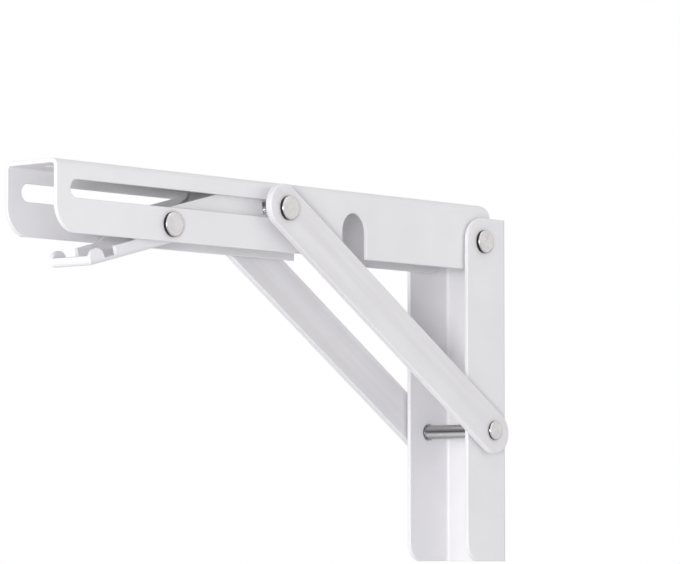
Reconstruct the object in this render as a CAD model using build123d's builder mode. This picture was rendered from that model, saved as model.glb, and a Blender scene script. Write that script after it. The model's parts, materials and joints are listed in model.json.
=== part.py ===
from build123d import *
import math
import os

# Folding shelf bracket. X = 0 is the wall and the arm reaches out along -X. Y = 0 is the middle
# plane that the bracket is symmetric about, and Z is up. Near is -Y and far is +Y.

# Sheet metal
sheet = 2.0
bend_inside = 1.5

# Wall rail
rail_width = 38.0
rail_height = 165.0
rail_depth = 30.4
rail_foot_radius = 9.0
wall_screw_radius = 2.75
wall_screw_top = 40.0
wall_screw_spacing = 50.0
wall_screw_count = 3

# Hinge between rail and arm
hinge_from_wall = 18.4
hinge_below_rail_top = 11.5
hinge_pin_radius = 3.5
side_gap = 1.0
hinge_washer_radius = 7.5

# Arm
arm_above_hinge = 18.0
arm_below_hinge = 13.5
arm_behind_hinge = 8.6
arm_rear_top_radius = 6.0
arm_rear_foot_radius = 9.0
arm_front_corner_length = 9.5
arm_front_corner_radius = 13.0
slot_above_hinge = 5.6
slot_width = 8.0
slot_spare = 4.0
slot_from_arm_end = 8.35
notch_radius = 8.5
notch_above_hinge = 7.7
shelf_screw_radius = 2.5
shelf_screws_from_wall = (58.5, 138.5)
shelf_screw_from_arm_end = 10.5

# Braces and the axles at their ends
brace_drop = 91.0
axle_from_wall = 16.8
pin_from_hinge = 146.0
brace_width = 20.0
brace_end = 11.9
brace_thickness = 3.5
brace_edge_radius = 0.8
brace_gap = 1.5
brace_rivet_radius = 3.0
axle_radius = 3.4
axle_collar_radius = 4.0
axle_collar_thickness = 0.8
axle_head_radius = 4.6
axle_head_height = 1.3
brace_washer_radius = 6.5
slide_spacer_radius = 6.0
slide_pin_inset = 1.1

# Rivet heads of the hinge, the lever and the upper ends of the braces
head_radius = 5.6
head_height = 2.0
head_edge = 0.4

# Release lever, in its own frame: along it from its pin towards the wall, and up
lever_from_cross_pin = 67.0
lever_below_hinge = 5.9
lever_tilt = 14.5
lever_side_gap = 1.5
lever_sheet = 1.8
lever_floor_below_pin = 8.5
lever_top_above_pin = 7.3
lever_stop_gap = 0.3
lever_hook_drop = 2.6
lever_hook_length = 12.0
lever_shoulder_rear = 5.7
lever_shoulder_front = 20.4
lever_shoulder_radius = 4.5
lever_handle_height = 5.8
lever_handle_reach = 33.6
lever_bend_radius = 2.3
tab_relief = 7.4
ear_radius = 4.5
ear_height = 6.9
tab_lip_height = 4.3
tab_toe_radius = 2.2
lever_pin_radius = 3.0
lever_bush_radius = 5.5

# Lever spring. Its turns press into each other by the lap, and its back leg climbs behind the
# lever's wall, so that the slots don't show it
spring_wire = 1.4
spring_turns = 3
spring_clearance = 0.7
spring_lap = 0.06
spring_foot_reach = 22.0
spring_climb_reach = 28.0
spring_climb_height = 14.5
spring_back_reach = 30.0
spring_tip_past_pin = 1.0
spring_bend_radius = 2.2

# Clearances
running_clearance = 0.05
slot_clearance = 0.1
face_clearance = 0.1

# Places worked out from the sizes above
hinge_x = -hinge_from_wall
hinge_z = rail_height / 2 - hinge_below_rail_top
axle_x = -axle_from_wall
axle_z = hinge_z - brace_drop
pin_x = hinge_x - pin_from_hinge
pin_z = hinge_z + slot_above_hinge
lever_x = pin_x - lever_from_cross_pin
lever_z = hinge_z - lever_below_hinge
arm_top = hinge_z + arm_above_hinge
arm_bottom = hinge_z - arm_below_hinge
arm_rear = hinge_x + arm_behind_hinge
arm_front_corner_height = math.sqrt(
    2 * arm_front_corner_radius * arm_front_corner_length - arm_front_corner_length**2
)

rail_inside = rail_width / 2 - sheet
arm_outside = rail_inside - side_gap
arm_inside = arm_outside - sheet
brace_inside = rail_width / 2 + brace_gap
brace_outside = brace_inside + brace_thickness
lever_outside = arm_inside - lever_side_gap
slide_pin_radius = slot_width / 2 - slot_clearance

# The brace's length fixes how far the upper pins run when the arm is folded down, and so the
# slots' length and the arm's
brace_length = math.hypot(axle_x - pin_x, pin_z - axle_z)
brace_angle = math.degrees(math.atan2(axle_z - pin_z, axle_x - pin_x))
folded_offset = slot_above_hinge + hinge_from_wall - axle_from_wall
pin_folded = brace_drop + math.sqrt(brace_length**2 - folded_offset**2)
slot_front_x = hinge_x - pin_folded - slot_spare
arm_reach = slot_width / 2 + slot_from_arm_end - slot_front_x

pieces = {}


def channel_section(width, depth):
    # U section with its web on the local X axis and its flanges towards -Y
    with BuildSketch() as section:
        Rectangle(width, depth, align=(Align.CENTER, Align.MAX))
        fillet(section.vertices().group_by(Axis.Y)[-1], bend_inside + sheet)
        with Locations((0, -sheet)):
            Rectangle(width - 2 * sheet, depth, align=(Align.CENTER, Align.MAX), mode=Mode.SUBTRACT)
        inner = section.vertices().filter_by_position(Axis.Y, -1.01 * sheet, -0.99 * sheet)
        fillet(inner, bend_inside)
    return section.sketch


def rivet(x, z, shank_radius, half_grip, cap_radius, cap_height):
    # A shank across the bracket with a flat head at each end
    middle = Plane.XZ.shift_origin((x, 0, z))
    with BuildPart() as piece:
        with BuildSketch(middle):
            Circle(shank_radius)
        extrude(amount=half_grip, both=True)
        for side in (1, -1):
            with BuildSketch(middle.offset(side * half_grip)):
                Circle(cap_radius)
            extrude(amount=side * cap_height)
        rims = piece.edges().filter_by(GeomType.CIRCLE).sort_by(Axis.Y)
        chamfer([rims[0], rims[-1]], head_edge)
    return piece.part


def ring(x, z, side, start, thickness, outer_radius, inner_radius):
    # A washer, collar or plug beside the middle plane, growing outwards from its start
    with BuildPart() as piece:
        with BuildSketch(Plane.XZ.shift_origin((x, 0, z)).offset(side * start)):
            Circle(outer_radius)
            if inner_radius > 0:
                Circle(inner_radius, mode=Mode.SUBTRACT)
        extrude(amount=side * thickness)
    return piece.part


# Wall rail: a channel with its web on the wall
with BuildPart() as wall_rail:
    with BuildSketch(Plane(origin=(0, 0, -rail_height / 2), x_dir=(0, -1, 0), z_dir=(0, 0, 1))):
        add(channel_section(rail_width, rail_depth))
    extrude(amount=rail_height)
    with BuildSketch(Plane.XZ) as rail_side:
        Rectangle(rail_depth, rail_height, align=(Align.MAX, Align.CENTER))
        fillet(rail_side.vertices().group_by(Axis.X)[0].sort_by(Axis.Y)[-1], hinge_below_rail_top)
        fillet(rail_side.vertices().group_by(Axis.X)[0].sort_by(Axis.Y)[0], rail_foot_radius)
        with Locations((hinge_x, hinge_z)):
            Circle(hinge_pin_radius, mode=Mode.SUBTRACT)
        with Locations((axle_x, axle_z)):
            Circle(axle_radius, mode=Mode.SUBTRACT)
    extrude(amount=rail_width, both=True, mode=Mode.INTERSECT)
    for row in range(wall_screw_count):
        with Locations(Location((0, 0, wall_screw_top - row * wall_screw_spacing), (0, 90, 0))):
            Hole(wall_screw_radius, depth=2 * sheet)
pieces["wall_rail"] = wall_rail

# Arm: an inverted channel whose flanges carry the slots, the notches and the pivots
with BuildPart() as arm_rail:
    with BuildSketch(Plane.YZ.offset(-arm_reach)):
        with Locations((0, arm_top)):
            add(channel_section(2 * arm_outside, arm_top - arm_bottom))
    extrude(amount=arm_reach + arm_rear)
    with BuildSketch(Plane.XZ) as arm_side:
        with BuildLine():
            outline = Polyline(
                (-arm_reach + arm_front_corner_length, arm_bottom),
                (arm_rear, arm_bottom),
                (arm_rear, arm_top),
                (-arm_reach, arm_top),
                (-arm_reach, arm_bottom + arm_front_corner_height),
            )
            RadiusArc(outline @ 1, outline @ 0, -arm_front_corner_radius)
        make_face()
        fillet(arm_side.vertices().group_by(Axis.X)[-1].sort_by(Axis.Y)[-1], arm_rear_top_radius)
        fillet(arm_side.vertices().group_by(Axis.X)[-1].sort_by(Axis.Y)[0], arm_rear_foot_radius)
        with Locations(((slot_front_x + pin_x) / 2, pin_z)):
            SlotCenterToCenter(pin_x - slot_front_x, slot_width, mode=Mode.SUBTRACT)
        with Locations((hinge_x - brace_drop, hinge_z + notch_above_hinge - notch_radius)):
            Circle(notch_radius, mode=Mode.SUBTRACT)
            Rectangle(
                2 * notch_radius,
                arm_below_hinge + notch_above_hinge,
                align=(Align.CENTER, Align.MAX),
                mode=Mode.SUBTRACT,
            )
        with Locations((hinge_x, hinge_z)):
            Circle(hinge_pin_radius + running_clearance, mode=Mode.SUBTRACT)
        with Locations((lever_x, lever_z)):
            Circle(lever_pin_radius, mode=Mode.SUBTRACT)
    extrude(amount=arm_outside, both=True, mode=Mode.INTERSECT)
    # The web stops where the flanges' rear corners start to round
    with Locations((arm_rear, 0, arm_top)):
        Box(
            2 * arm_rear_top_radius,
            2 * (arm_inside - bend_inside),
            2 * sheet,
            mode=Mode.SUBTRACT,
        )
    for from_wall in (*shelf_screws_from_wall, arm_reach - shelf_screw_from_arm_end):
        with Locations((-from_wall, 0, arm_top)):
            Hole(shelf_screw_radius, depth=2 * sheet)
pieces["arm_rail"] = arm_rail

# Release lever: a channel that is level when pressed and hangs by its tilt at rest
lever_plane = Plane(
    origin=(lever_x, 0, lever_z),
    x_dir=(math.cos(math.radians(lever_tilt)), 0, math.sin(math.radians(lever_tilt))),
    z_dir=(0, -1, 0),
)
floor = -lever_floor_below_pin
floor_top = floor + lever_sheet
handle_top = floor + lever_handle_height
ear_rear = -lever_handle_reach - tab_relief
ear_middle = ear_rear - ear_radius
tab_front = ear_rear - 2 * ear_radius
ear_centre_height = floor + ear_height - ear_radius
stop_radius = math.hypot(lever_x - pin_x, lever_z - pin_z) - slide_pin_radius - lever_stop_gap
hook_top = lever_top_above_pin - lever_hook_drop
hook_corner = math.sqrt(stop_radius**2 - hook_top**2)
stop_foot = math.sqrt(stop_radius**2 - floor**2)
with BuildPart() as release_lever:
    with BuildSketch(lever_plane) as lever_side:
        with BuildLine():
            ThreePointArc((stop_foot, floor), (stop_radius, 0), (hook_corner, hook_top))
            Polyline(
                (hook_corner, hook_top),
                (hook_corner - lever_hook_length, lever_top_above_pin),
                (lever_shoulder_rear, lever_top_above_pin),
                (-lever_shoulder_front, handle_top),
                (-lever_handle_reach, handle_top),
                (-lever_handle_reach, floor_top),
                (ear_rear, floor_top),
                (ear_rear, ear_centre_height),
            )
            ThreePointArc(
                (ear_rear, ear_centre_height),
                (ear_middle, floor + ear_height),
                (tab_front, ear_centre_height),
            )
            Polyline((tab_front, ear_centre_height), (tab_front, floor), (stop_foot, floor))
        make_face()
        fillet(lever_side.vertices().group_by(Axis.X)[0].sort_by(Axis.Y)[0], tab_toe_radius)
        shoulders = lever_side.vertices().filter_by_position(
            Axis.X, -lever_shoulder_front - lever_sheet, lever_shoulder_rear + lever_sheet
        )
        fillet(shoulders, lever_shoulder_radius)
    extrude(amount=lever_outside, both=True)
    # The bends between the floor and the walls
    with BuildSketch(Plane(origin=lever_plane.origin, x_dir=(0, 1, 0), z_dir=lever_plane.x_dir)):
        with Locations((0, floor)):
            bends = Rectangle(2 * lever_outside, stop_radius, align=(Align.CENTER, Align.MIN))
        fillet(bends.vertices().group_by(Axis.Y)[0], lever_bend_radius)
    extrude(amount=stop_radius, both=True, mode=Mode.INTERSECT)
    # The hollow between the walls, open at the top and at the wall end
    with BuildSketch(lever_plane):
        with Locations((tab_front + lever_sheet, floor_top)):
            Rectangle(
                2 * stop_radius,
                2 * lever_top_above_pin + lever_floor_below_pin,
                align=(Align.MIN, Align.MIN),
            )
        with Locations((tab_front, floor + tab_lip_height)):
            Rectangle(3 * ear_radius, 2 * ear_radius, align=(Align.MIN, Align.MIN))
    extrude(amount=lever_outside - lever_sheet, both=True, mode=Mode.SUBTRACT)
    with BuildSketch(lever_plane):
        Circle(lever_pin_radius + running_clearance)
    extrude(amount=lever_outside, both=True, mode=Mode.SUBTRACT)
pieces["release_lever"] = release_lever

# Lever spring: coils round the lever pin, a leg on the lever's floor and a leg folded back
# under the arm's web
coil_radius = lever_pin_radius + spring_clearance + spring_wire / 2
coil_pitch = spring_wire - spring_lap
outer_coil = (spring_turns - 1) * coil_pitch / 2
web_height = arm_top - sheet - face_clearance - spring_wire / 2 - lever_z
with BuildPart() as lever_spring:
    for turn in range(spring_turns):
        with BuildSketch(Plane.YZ.offset(lever_x)):
            with Locations((turn * coil_pitch - outer_coil, lever_z + coil_radius)):
                Circle(spring_wire / 2)
        revolve(axis=Axis((lever_x, 0, lever_z), (0, 1, 0)))
    with BuildLine(lever_plane.offset(outer_coil)):
        foot = Line((0, -coil_radius), (-spring_foot_reach, floor_top + spring_wire / 2))
    with BuildSketch(Plane(origin=foot @ 0, z_dir=foot % 0)):
        Circle(spring_wire / 2)
    sweep()
    with BuildLine(Plane.XZ.shift_origin((lever_x, 0, lever_z)).offset(-outer_coil)):
        back = FilletPolyline(
            (coil_radius, 0),
            (spring_climb_reach, spring_climb_height),
            (spring_back_reach, web_height),
            (-spring_tip_past_pin, web_height),
            radius=spring_bend_radius,
        )
    with BuildSketch(Plane(origin=back @ 0, z_dir=back % 0)):
        Circle(spring_wire / 2)
    sweep()
pieces["lever_spring"] = lever_spring

# Pins through both sides of the bracket
pieces["hinge_pin"] = rivet(
    hinge_x, hinge_z, hinge_pin_radius, rail_width / 2, head_radius, head_height
)
pieces["lower_axle"] = rivet(
    axle_x, axle_z, axle_radius, brace_outside + face_clearance, axle_head_radius, axle_head_height
)
pieces["lever_pin"] = rivet(
    lever_x, lever_z, lever_pin_radius, arm_outside, head_radius, head_height
)
with BuildPart() as cross_pin:
    with BuildSketch(Plane.XZ.shift_origin((pin_x, 0, pin_z))):
        Circle(slide_pin_radius)
    extrude(amount=arm_inside - slide_pin_inset - face_clearance, both=True)
pieces["cross_pin"] = cross_pin

for side, name in ((1, "near"), (-1, "far")):
    # Brace: a flat bar with round ends, outside both channels
    with BuildPart() as brace:
        with BuildSketch(Plane.XZ.offset(side * brace_inside)):
            with Locations(((axle_x + pin_x) / 2, (axle_z + pin_z) / 2)):
                SlotOverall(brace_length + 2 * brace_end, brace_width, rotation=brace_angle)
            with Locations((axle_x, axle_z)):
                Circle(axle_radius + running_clearance, mode=Mode.SUBTRACT)
            with Locations((pin_x, pin_z)):
                Circle(brace_rivet_radius, mode=Mode.SUBTRACT)
        extrude(amount=side * brace_thickness)
        flats = brace.faces().filter_by(Axis.Y).sort_by(Axis.Y)
        rims = flats[0].outer_wire().edges() + flats[-1].outer_wire().edges()
        fillet(rims, brace_edge_radius)
    pieces["brace_" + name] = brace

    # Upper rivet of the brace: its shank fills the brace and its head lies outside
    with BuildPart() as brace_rivet:
        with BuildSketch(Plane.XZ.shift_origin((pin_x, 0, pin_z)).offset(side * brace_inside)):
            Circle(brace_rivet_radius)
        extrude(amount=side * brace_thickness)
        with BuildSketch(Plane.XZ.shift_origin((pin_x, 0, pin_z)).offset(side * brace_outside)):
            Circle(head_radius)
        extrude(amount=side * head_height)
        rims = brace_rivet.edges().filter_by(GeomType.CIRCLE).sort_by(Axis.Y)
        chamfer(rims[0] if side > 0 else rims[-1], head_edge)
    pieces["brace_rivet_" + name] = brace_rivet

    # Pin in the arm's slot and the spacer between the arm and the brace
    pieces["slide_pin_" + name] = ring(
        pin_x,
        pin_z,
        side,
        arm_inside - slide_pin_inset,
        sheet + slide_pin_inset + face_clearance,
        slide_pin_radius,
        0,
    )
    pieces["slide_spacer_" + name] = ring(
        pin_x,
        pin_z,
        side,
        arm_outside + face_clearance,
        brace_inside - arm_outside - 2 * face_clearance,
        slide_spacer_radius,
        0,
    )

    # Washers, collars and bushes on the fixed pins
    pieces["hinge_washer_" + name] = ring(
        hinge_x,
        hinge_z,
        side,
        arm_outside + face_clearance,
        side_gap - face_clearance,
        hinge_washer_radius,
        hinge_pin_radius,
    )
    pieces["axle_collar_" + name] = ring(
        axle_x,
        axle_z,
        side,
        rail_inside - axle_collar_thickness,
        axle_collar_thickness,
        axle_collar_radius,
        axle_radius,
    )
    pieces["brace_washer_" + name] = ring(
        axle_x,
        axle_z,
        side,
        rail_width / 2,
        brace_gap - face_clearance,
        brace_washer_radius,
        axle_radius,
    )
    pieces["lever_bush_" + name] = ring(
        lever_x,
        lever_z,
        side,
        lever_outside + face_clearance,
        arm_inside - lever_outside - face_clearance,
        lever_bush_radius,
        lever_pin_radius,
    )

os.makedirs("parts", exist_ok=True)
for name, piece in pieces.items():
    solid = piece.part if isinstance(piece, BuildPart) else piece
    solid.label = name
    export_step(solid, "parts/" + name + ".step")
    print(name, round(solid.volume / 1000, 2), "cm3")
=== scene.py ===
# Folding shelf bracket, dressed for the render. Metres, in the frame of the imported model:
# X = 0 is the wall, the arm reaches out along -X, near is -Y and Z is up.
import bmesh
import bpy
import json
import math
from mathutils import Matrix, Vector


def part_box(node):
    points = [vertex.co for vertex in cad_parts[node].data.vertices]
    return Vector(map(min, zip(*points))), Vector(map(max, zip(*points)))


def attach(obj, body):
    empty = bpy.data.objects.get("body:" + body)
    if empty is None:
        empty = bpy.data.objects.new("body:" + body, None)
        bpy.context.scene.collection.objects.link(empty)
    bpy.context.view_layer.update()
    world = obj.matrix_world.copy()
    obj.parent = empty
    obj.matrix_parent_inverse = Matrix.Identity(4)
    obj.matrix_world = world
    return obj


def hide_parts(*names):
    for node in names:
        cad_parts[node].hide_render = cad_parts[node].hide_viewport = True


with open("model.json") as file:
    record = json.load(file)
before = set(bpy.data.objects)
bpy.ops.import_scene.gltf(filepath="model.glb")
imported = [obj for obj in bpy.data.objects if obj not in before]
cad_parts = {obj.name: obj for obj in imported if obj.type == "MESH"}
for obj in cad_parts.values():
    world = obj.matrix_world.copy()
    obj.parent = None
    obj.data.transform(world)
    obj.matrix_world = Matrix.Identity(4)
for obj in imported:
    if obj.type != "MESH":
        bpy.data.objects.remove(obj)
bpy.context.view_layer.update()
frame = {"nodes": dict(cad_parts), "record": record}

millimetre = 0.001
bodyOf = {}
for bodyName, members in frame["record"]["behaviour"]["bodies"].items():
    for member in members:
        bodyOf[member] = bodyName
slotOf = {entry["node"]: entry["material_slot"] for entry in frame["record"]["subparts"]}


def middleOf(nodeName):
    low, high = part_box(nodeName)
    return (low + high) / 2


def braceSlope():
    foot = middleOf("lower_axle")
    top = middleOf("brace_rivet_near")
    return math.atan2(top.z - foot.z, foot.x - top.x)


# Camera, at the angle of the photograph
cameraLook = {
    "azimuth": -48.78,
    "elevation": -4.227,
    "roll": 0.033,
    "aim": (-0.1219, 0.0, 0.019),
    "distance": 1.6768,
    "slideRight": 0.01343,
    "slideUp": 0.02765,
    "focalPixels": 3623.5,
    "framePixels": 680,
    "sensor": 36.0,
    "clipEnd": 50.0,
}


def makeCamera(look):
    azimuth = math.radians(look["azimuth"])
    elevation = math.radians(look["elevation"])
    back = Vector((
        math.sin(azimuth) * math.cos(elevation),
        -math.cos(azimuth) * math.cos(elevation),
        math.sin(elevation),
    ))
    level = Vector((0, 0, 1)).cross(back).normalized()
    upright = back.cross(level)
    roll = math.radians(look["roll"])
    right = level * math.cos(roll) + upright * math.sin(roll)
    up = upright * math.cos(roll) - level * math.sin(roll)
    place = Vector(look["aim"]) + back * look["distance"]
    place += right * look["slideRight"] + up * look["slideUp"]
    data = bpy.data.cameras.new("photoCamera")
    data.sensor_width = look["sensor"]
    data.lens = look["sensor"] * look["focalPixels"] / look["framePixels"]
    data.clip_end = look["clipEnd"]
    camera = bpy.data.objects.new("photoCamera", data)
    bpy.context.scene.collection.objects.link(camera)
    camera.matrix_world = Matrix.Translation(place) @ Matrix((right, up, back)).transposed().to_4x4()
    bpy.context.scene.camera = camera


makeCamera(cameraLook)
print("camera: done")


# Node helpers
def freshMaterial(name):
    material = bpy.data.materials.new(name)
    material.use_nodes = True
    nodes = material.node_tree.nodes
    nodes.clear()
    shader = nodes.new("ShaderNodeBsdfPrincipled")
    output = nodes.new("ShaderNodeOutputMaterial")
    material.node_tree.links.new(shader.outputs["BSDF"], output.inputs["Surface"])
    return material, nodes, material.node_tree.links, shader


def noiseNode(nodes, links, source, scale, detail=3.0, roughness=0.5):
    noise = nodes.new("ShaderNodeTexNoise")
    noise.inputs["Scale"].default_value = scale
    noise.inputs["Detail"].default_value = detail
    noise.inputs["Roughness"].default_value = roughness
    links.new(source, noise.inputs["Vector"])
    return noise


def rangeNode(nodes, links, source, low, high, fromLow=0.3, fromHigh=0.7):
    spread = nodes.new("ShaderNodeMapRange")
    spread.inputs["From Min"].default_value = fromLow
    spread.inputs["From Max"].default_value = fromHigh
    spread.inputs["To Min"].default_value = low
    spread.inputs["To Max"].default_value = high
    links.new(source, spread.inputs["Value"])
    return spread


def blendColours(nodes, links, factor, first, second):
    mix = nodes.new("ShaderNodeMix")
    mix.data_type = "RGBA"
    mix.inputs["A"].default_value = (*first, 1)
    mix.inputs["B"].default_value = (*second, 1)
    links.new(factor, mix.inputs["Factor"])
    return mix


def bumpNode(nodes, links, height, strength, depth, under=None):
    bump = nodes.new("ShaderNodeBump")
    bump.inputs["Strength"].default_value = strength
    bump.inputs["Distance"].default_value = depth
    links.new(height, bump.inputs["Height"])
    if under is not None:
        links.new(under.outputs["Normal"], bump.inputs["Normal"])
    return bump


# White powder coat: a fine orange peel, faint cloudiness and slightly uneven gloss
coatLook = {
    "light": (0.820, 0.812, 0.836),
    "dark": (0.782, 0.774, 0.798),
    "roughLow": 0.34,
    "roughHigh": 0.46,
    "cloudScale": 38.0,
    "cloudDetail": 4.0,
    "peelScale": 900.0,
    "peelDetail": 2.0,
    "peelDepth": 0.00003,
    "peelStrength": 0.12,
    "waveScale": 130.0,
    "waveDetail": 1.0,
    "waveDepth": 0.0001,
    "waveStrength": 0.06,
    "specular": 0.5,
}
# The braces' flats get faint darker lengthwise bands at random. The stretch is a band's length and
# widths, and the turn is the braces' slope
braceLook = dict(
    coatLook,
    bandTurn=braceSlope(),
    bandStretch=(0.11, 0.012, 0.0055),
    bandDetail=2.0,
    bandColour=(0.712, 0.695, 0.712),
    bandStrength=0.8,
)


def powderCoat(name, look):
    material, nodes, links, shader = freshMaterial(name)
    place = nodes.new("ShaderNodeTexCoord").outputs["Object"]
    cloud = noiseNode(nodes, links, place, look["cloudScale"], look["cloudDetail"])
    tone = rangeNode(nodes, links, cloud.outputs["Fac"], 0.0, 1.0)
    colour = blendColours(nodes, links, tone.outputs["Result"], look["dark"], look["light"])
    if "bandStretch" in look:
        lengthwise = nodes.new("ShaderNodeMapping")
        lengthwise.vector_type = "TEXTURE"
        lengthwise.inputs["Rotation"].default_value = (0, look["bandTurn"], 0)
        lengthwise.inputs["Scale"].default_value = look["bandStretch"]
        links.new(place, lengthwise.inputs["Vector"])
        bands = noiseNode(nodes, links, lengthwise.outputs["Vector"], 1.0, look["bandDetail"])
        shade = rangeNode(nodes, links, bands.outputs["Fac"], 0.0, look["bandStrength"])
        banded = blendColours(nodes, links, shade.outputs["Result"], look["light"], look["bandColour"])
        links.new(colour.outputs["Result"], banded.inputs["A"])
        colour = banded
    links.new(colour.outputs["Result"], shader.inputs["Base Color"])
    gloss = rangeNode(nodes, links, cloud.outputs["Fac"], look["roughHigh"], look["roughLow"])
    links.new(gloss.outputs["Result"], shader.inputs["Roughness"])
    shader.inputs["Specular IOR Level"].default_value = look["specular"]
    wave = noiseNode(nodes, links, place, look["waveScale"], look["waveDetail"])
    peel = noiseNode(nodes, links, place, look["peelScale"], look["peelDetail"])
    low = bumpNode(nodes, links, wave.outputs["Fac"], look["waveStrength"], look["waveDepth"])
    fine = bumpNode(nodes, links, peel.outputs["Fac"], look["peelStrength"], look["peelDepth"], low)
    links.new(fine.outputs["Normal"], shader.inputs["Normal"])
    return material


# Bright metal: turned rings round its own pin, fine scratches and uneven gloss. A head's side wall is
# painted dark as a painted reflection and shade, and the axle has painted reflection bands under lengthwise
# streaks of drawn bar
headLook = {
    "light": (0.735, 0.715, 0.715),
    "dark": (0.60, 0.583, 0.583),
    # painted dark reflection and contact shade on a head's side wall
    "side": (0.040, 0.040, 0.044),
    "sideFrom": 0.30,
    "sideTo": 0.70,
    "paintedReflectionTones": None,
    "roughLow": 0.16,
    "roughHigh": 0.34,
    "patchScale": 260.0,
    "patchDetail": 5.0,
    "patchRoughness": 0.62,
    "ringWidth": 0.00035,
    "ringDepth": 0.000006,
    "ringStrength": 0.35,
    "scratchScale": 700.0,
    "scratchDetail": 6.0,
    "scratchRoughness": 0.7,
    "scratchDepth": 0.000006,
    "scratchStrength": 0.25,
}
# The axle's painted reflection bands, bright and dark, by how high round the bar a point lies: 0 is its
# lowest line, 1 its highest
paintedReflectionBands = {
    "underside": (0.1, 0.45),
    "paintedShine": (0.3, 0.95),
    "middle": (0.5, 0.03),
    "shoulder": (0.75, 0.55),
    "crown": (1.0, 0.4),
}
axleLook = dict(
    headLook,
    paintedReflectionTones=paintedReflectionBands,
    streakScale=(1500.0, 15.0, 1500.0),
    streakDetail=2.0,
    streakTone=(0.30, 0.30, 0.31),
    streakStrength=0.25,
    headStep=0.0002,
    roughLow=0.12,
    roughHigh=0.22,
)
# The collars keep the heads' painted dark side wall
collarLook = dict(headLook, light=(0.62, 0.62, 0.62), dark=(0.50, 0.50, 0.50))
springLook = dict(headLook, light=(0.74, 0.74, 0.75), dark=(0.62, 0.62, 0.63), side=None, roughLow=0.25)
zincLook = dict(headLook, light=(0.66, 0.68, 0.70), dark=(0.52, 0.54, 0.56), side=None, roughLow=0.24)
rodLook = dict(headLook, light=(0.72, 0.72, 0.72), dark=(0.60, 0.60, 0.60), side=None)


def vectorStep(nodes, links, operation, source, second):
    step = nodes.new("ShaderNodeVectorMath")
    step.operation = operation
    links.new(source, step.inputs[0])
    if second is not None:
        step.inputs[1].default_value = second
    return step


def acrossBracket(nodes, links, source, low, high):
    # From 0 to 1 as the Y part of a vector grows from low to high, the same on both sides
    parts = nodes.new("ShaderNodeSeparateXYZ")
    links.new(source, parts.inputs["Vector"])
    size = nodes.new("ShaderNodeMath")
    size.operation = "ABSOLUTE"
    links.new(parts.outputs["Y"], size.inputs[0])
    return rangeNode(nodes, links, size.outputs["Value"], 0.0, 1.0, low, high)


def paintedBandsAndStreaks(nodes, links, place, across, look):
    # Painted reflection bands round the bar under fine lengthwise streaks
    spoke = vectorStep(nodes, links, "NORMALIZE", across, None)
    parts = nodes.new("ShaderNodeSeparateXYZ")
    links.new(spoke.outputs["Vector"], parts.inputs["Vector"])
    level = rangeNode(nodes, links, parts.outputs["Z"], 0.0, 1.0, -1.0, 1.0)
    ramp = nodes.new("ShaderNodeValToRGB")
    stops = ramp.color_ramp.elements
    while len(stops) < len(look["paintedReflectionTones"]):
        stops.new(1.0)  # the next loop puts it in its place
    for stop, (position, tint) in zip(stops, look["paintedReflectionTones"].values()):
        stop.position = position
        stop.color = (tint, tint, tint, 1)
    links.new(level.outputs["Result"], ramp.inputs["Fac"])
    stretched = vectorStep(nodes, links, "MULTIPLY", place, look["streakScale"])
    streak = noiseNode(nodes, links, stretched.outputs["Vector"], 1.0, look["streakDetail"])
    fade = rangeNode(nodes, links, streak.outputs["Fac"], 0.0, look["streakStrength"])
    bar = blendColours(nodes, links, fade.outputs["Result"], look["streakTone"], look["streakTone"])
    links.new(ramp.outputs["Color"], bar.inputs["A"])
    return bar


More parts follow.
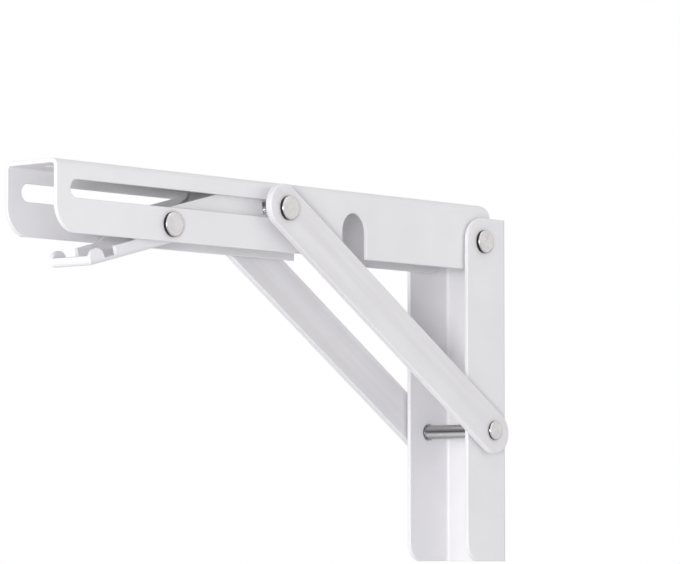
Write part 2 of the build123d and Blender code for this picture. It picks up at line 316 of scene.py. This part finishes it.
def brightSteel(name, look, centre):
    material, nodes, links, shader = freshMaterial(name)
    shader.inputs["Metallic"].default_value = 1.0
    spot = nodes.new("ShaderNodeTexCoord")
    place = spot.outputs["Object"]
    patch = noiseNode(nodes, links, place, look["patchScale"], look["patchDetail"], look["patchRoughness"])
    tone = rangeNode(nodes, links, patch.outputs["Fac"], 0.0, 1.0)
    colour = blendColours(nodes, links, tone.outputs["Result"], look["dark"], look["light"]).outputs["Result"]
    gloss = rangeNode(nodes, links, patch.outputs["Fac"], look["roughHigh"], look["roughLow"])
    links.new(gloss.outputs["Result"], shader.inputs["Roughness"])
    fromPin = vectorStep(nodes, links, "SUBTRACT", place, centre)
    across = vectorStep(nodes, links, "MULTIPLY", fromPin.outputs["Vector"], (1, 0, 1))  # square to the pin
    # Side walls square to the pin get a painted dark reflection and shade; on the axle the bar between the
    # braces gets the painted reflection bands
    if look["side"]:
        onFace = acrossBracket(nodes, links, spot.outputs["Normal"], look["sideFrom"], look["sideTo"])
        paintedSideMix = nodes.new("ShaderNodeMix")
        paintedSideMix.data_type = "RGBA"
        paintedSideMix.inputs["A"].default_value = (*look["side"], 1)
        links.new(onFace.outputs["Result"], paintedSideMix.inputs["Factor"])
        links.new(colour, paintedSideMix.inputs["B"])
        if look["paintedReflectionTones"]:
            bar = paintedBandsAndStreaks(nodes, links, place, across.outputs["Vector"], look)
            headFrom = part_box("brace_far")[1].y
            headTo = headFrom + look["headStep"]
            onHead = acrossBracket(nodes, links, fromPin.outputs["Vector"], headFrom, headTo)
            side = blendColours(nodes, links, onHead.outputs["Result"], look["side"], look["side"])
            links.new(bar.outputs["Result"], side.inputs["A"])
            links.new(side.outputs["Result"], paintedSideMix.inputs["A"])
        colour = paintedSideMix.outputs["Result"]
    links.new(colour, shader.inputs["Base Color"])
    distance = vectorStep(nodes, links, "LENGTH", across.outputs["Vector"], None)
    turns = nodes.new("ShaderNodeMath")
    turns.operation = "MULTIPLY"
    turns.inputs[1].default_value = 2 * math.pi / look["ringWidth"]
    links.new(distance.outputs["Value"], turns.inputs[0])
    ring = nodes.new("ShaderNodeMath")
    ring.operation = "SINE"
    links.new(turns.outputs["Value"], ring.inputs[0])
    scratch = noiseNode(
        nodes, links, place, look["scratchScale"], look["scratchDetail"], look["scratchRoughness"]
    )
    rings = bumpNode(nodes, links, ring.outputs["Value"], look["ringStrength"], look["ringDepth"])
    fine = bumpNode(
        nodes, links, scratch.outputs["Fac"], look["scratchStrength"], look["scratchDepth"], rings
    )
    links.new(fine.outputs["Normal"], shader.inputs["Normal"])
    return material


# Black nylon of the lever's bushes
nylonLook = {"light": (0.05, 0.05, 0.052), "dark": (0.03, 0.03, 0.032), "rough": 0.5, "scale": 500.0}


def nylon(name, look):
    material, nodes, links, shader = freshMaterial(name)
    place = nodes.new("ShaderNodeTexCoord").outputs["Object"]
    grain = noiseNode(nodes, links, place, look["scale"])
    colour = blendColours(nodes, links, grain.outputs["Fac"], look["dark"], look["light"])
    links.new(colour.outputs["Result"], shader.inputs["Base Color"])
    shader.inputs["Roughness"].default_value = look["rough"]
    return material


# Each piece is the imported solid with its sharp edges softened, as stamping and paint leave them
edgeLook = {
    "wall_rail": 0.35,
    "arm_rail": 0.35,
    "release_lever": 0.15,
    "brace_near": 0.0,
    "brace_far": 0.0,
    "hinge_pin": 0.25,
    "lever_pin": 0.25,
    "lower_axle": 0.2,
    "brace_rivet_near": 0.25,
    "brace_rivet_far": 0.25,
    "cross_pin": 0.3,
    "slide_pin_near": 0.2,
    "slide_pin_far": 0.2,
    "slide_spacer_near": 0.3,
    "slide_spacer_far": 0.3,
    "hinge_washer_near": 0.15,
    "hinge_washer_far": 0.15,
    "axle_collar_near": 0.15,
    "axle_collar_far": 0.15,
    "brace_washer_near": 0.2,
    "brace_washer_far": 0.2,
    "lever_bush_near": 0.25,
    "lever_bush_far": 0.25,
    "lever_spring": 0.0,
}
edgeRules = {"segments": 3, "sharpAngle": 32.0, "flatAngle": 0.4, "mergeGap": 0.000002}


def softPiece(nodeName, radius, material):
    mesh = frame["nodes"][nodeName].data.copy()
    form = bmesh.new()
    form.from_mesh(mesh)
    bmesh.ops.remove_doubles(form, verts=form.verts, dist=edgeRules["mergeGap"])
    bmesh.ops.dissolve_limit(
        form,
        angle_limit=math.radians(edgeRules["flatAngle"]),
        use_dissolve_boundaries=False,
        verts=form.verts,
        edges=form.edges,
    )
    sharp = math.radians(edgeRules["sharpAngle"])
    rounded = form.edges.layers.float.new("bevel_weight_edge")
    for edge in form.edges:
        turn = edge.calc_face_angle_signed(0)
        edge[rounded] = 1.0 if turn > sharp else 0.0
        edge.smooth = turn > -sharp if radius > 0 else abs(turn) < sharp
    form.to_mesh(mesh)
    form.free()
    mesh.name = nodeName + "Mesh"
    mesh.materials.clear()
    mesh.materials.append(material)
    mesh.polygons.foreach_set("use_smooth", [True] * len(mesh.polygons))
    piece = bpy.data.objects.new(nodeName + "_finish", mesh)
    bpy.context.scene.collection.objects.link(piece)
    if radius > 0:
        bevel = piece.modifiers.new("soften", "BEVEL")
        bevel.width = radius * millimetre
        bevel.segments = edgeRules["segments"]
        bevel.limit_method = "WEIGHT"
        bevel.use_clamp_overlap = False
        bevel.harden_normals = True
        bevel.miter_outer = "MITER_ARC"
    weighted = piece.modifiers.new("weighted", "WEIGHTED_NORMAL")
    weighted.keep_sharp = True
    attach(piece, bodyOf[nodeName])
    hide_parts(nodeName)


coat = powderCoat("whiteCoat", coatLook)
braceCoat = powderCoat("whiteBraceCoat", braceLook)
bushNylon = nylon("blackNylon", nylonLook)
steelLooks = {
    "hinge_pin": headLook,
    "lever_pin": headLook,
    "lower_axle": axleLook,
    "axle_collar": collarLook,
    "brace_rivet": headLook,
    "cross_pin": rodLook,
    "slide_pin": rodLook,
    "slide_spacer": zincLook,
    "hinge_washer": zincLook,
    "brace_washer": zincLook,
    "lever_spring": springLook,
}
for nodeName, radius in edgeLook.items():
    family = nodeName.replace("_near", "").replace("_far", "")
    if family == "brace":
        finish = braceCoat
    elif slotOf[nodeName] == "powder_coat":
        finish = coat
    elif family in steelLooks:
        finish = brightSteel(nodeName + "Steel", steelLooks[family], middleOf(nodeName))
    else:
        finish = bushNylon
    softPiece(nodeName, radius, finish)
print("pieces:", len(edgeLook), "finished")


# Studio: pale floor, white surroundings and large soft lamps. Each lamp is placed round the bracket by
# its azimuth and elevation in degrees, and its strength is the light that it gives a white sheet of
# paper facing it, where 1 makes the paper plain white
studioLook = {
    "floorHeight": -0.6,
    "floorSize": 40.0,
    "floorColour": (0.90, 0.90, 0.905),
    "floorRoughness": 0.9,
    "ambient": 0.57,
    "aim": (-0.14, 0.0, 0.02),
    "lamps": {
        "front": {"azimuth": -57.0, "elevation": -2.0, "distance": 3.5, "size": (0.8, 0.4), "strength": 0.44},
        "left": {"azimuth": -95.0, "elevation": 5.0, "distance": 3.5, "size": (1.6, 1.2), "strength": 0.17},
        "side": {"azimuth": 25.0, "elevation": 15.0, "distance": 3.5, "size": (1.6, 1.6), "strength": 0.04},
        "top": {"azimuth": -20.0, "elevation": 75.0, "distance": 3.0, "size": (1.6, 1.6), "strength": 0.10},
    },
}


def direction(azimuth, elevation):
    turn = math.radians(azimuth)
    rise = math.radians(elevation)
    return Vector((math.sin(turn) * math.cos(rise), -math.cos(turn) * math.cos(rise), math.sin(rise)))


def flatSheet(name, place, facing, width, height):
    mesh = bpy.data.meshes.new(name)
    x, y = width / 2, height / 2
    mesh.from_pydata([(-x, -y, 0), (x, -y, 0), (x, y, 0), (-x, y, 0)], [], [(0, 1, 2, 3)])
    sheet = bpy.data.objects.new(name, mesh)
    bpy.context.scene.collection.objects.link(sheet)
    sheet.location = place
    sheet.rotation_euler = Vector(facing).to_track_quat("Z", "Y").to_euler()
    return sheet


def makeFloor(look):
    floor = flatSheet("floor", (0, 0, look["floorHeight"]), (0, 0, 1), look["floorSize"], look["floorSize"])
    material, nodes, links, shader = freshMaterial("paleFloor")
    shader.inputs["Base Color"].default_value = (*look["floorColour"], 1)
    shader.inputs["Roughness"].default_value = look["floorRoughness"]
    floor.data.materials.append(material)


def makeWorld(look):
    world = bpy.data.worlds.new("studio")
    bpy.context.scene.world = world
    world.use_nodes = True
    nodes = world.node_tree.nodes
    links = world.node_tree.links
    nodes.clear()
    path = nodes.new("ShaderNodeLightPath")
    seen = nodes.new("ShaderNodeMath")
    seen.operation = "MAXIMUM"
    links.new(path.outputs["Is Camera Ray"], seen.inputs[0])
    links.new(path.outputs["Is Glossy Ray"], seen.inputs[1])
    seenAll = nodes.new("ShaderNodeMath")
    seenAll.operation = "MAXIMUM"
    links.new(seen.outputs["Value"], seenAll.inputs[0])
    links.new(path.outputs["Is Transmission Ray"], seenAll.inputs[1])
    level = nodes.new("ShaderNodeMapRange")
    level.inputs["To Min"].default_value = look["ambient"]
    level.inputs["To Max"].default_value = 1.0
    links.new(seenAll.outputs["Value"], level.inputs["Value"])
    background = nodes.new("ShaderNodeBackground")
    background.inputs["Color"].default_value = (1, 1, 1, 1)
    links.new(level.outputs["Result"], background.inputs["Strength"])
    output = nodes.new("ShaderNodeOutputWorld")
    links.new(background.outputs["Background"], output.inputs["Surface"])


def makeLamp(name, lamp, aim):
    data = bpy.data.lights.new(name + "Lamp", "AREA")
    data.shape = "RECTANGLE"
    data.size, data.size_y = lamp["size"]
    data.energy = lamp["strength"] * (math.pi * lamp["distance"]) ** 2
    holder = bpy.data.objects.new(name + "Lamp", data)
    bpy.context.scene.collection.objects.link(holder)
    away = direction(lamp["azimuth"], lamp["elevation"])
    holder.location = Vector(aim) + away * lamp["distance"]
    holder.rotation_euler = away.to_track_quat("Z", "Y").to_euler()
    holder.visible_camera = False


makeFloor(studioLook)
makeWorld(studioLook)
for lampName, lamp in studioLook["lamps"].items():
    makeLamp(lampName, lamp, studioLook["aim"])
bpy.context.scene.view_settings.view_transform = "Standard"
print("studio: done")
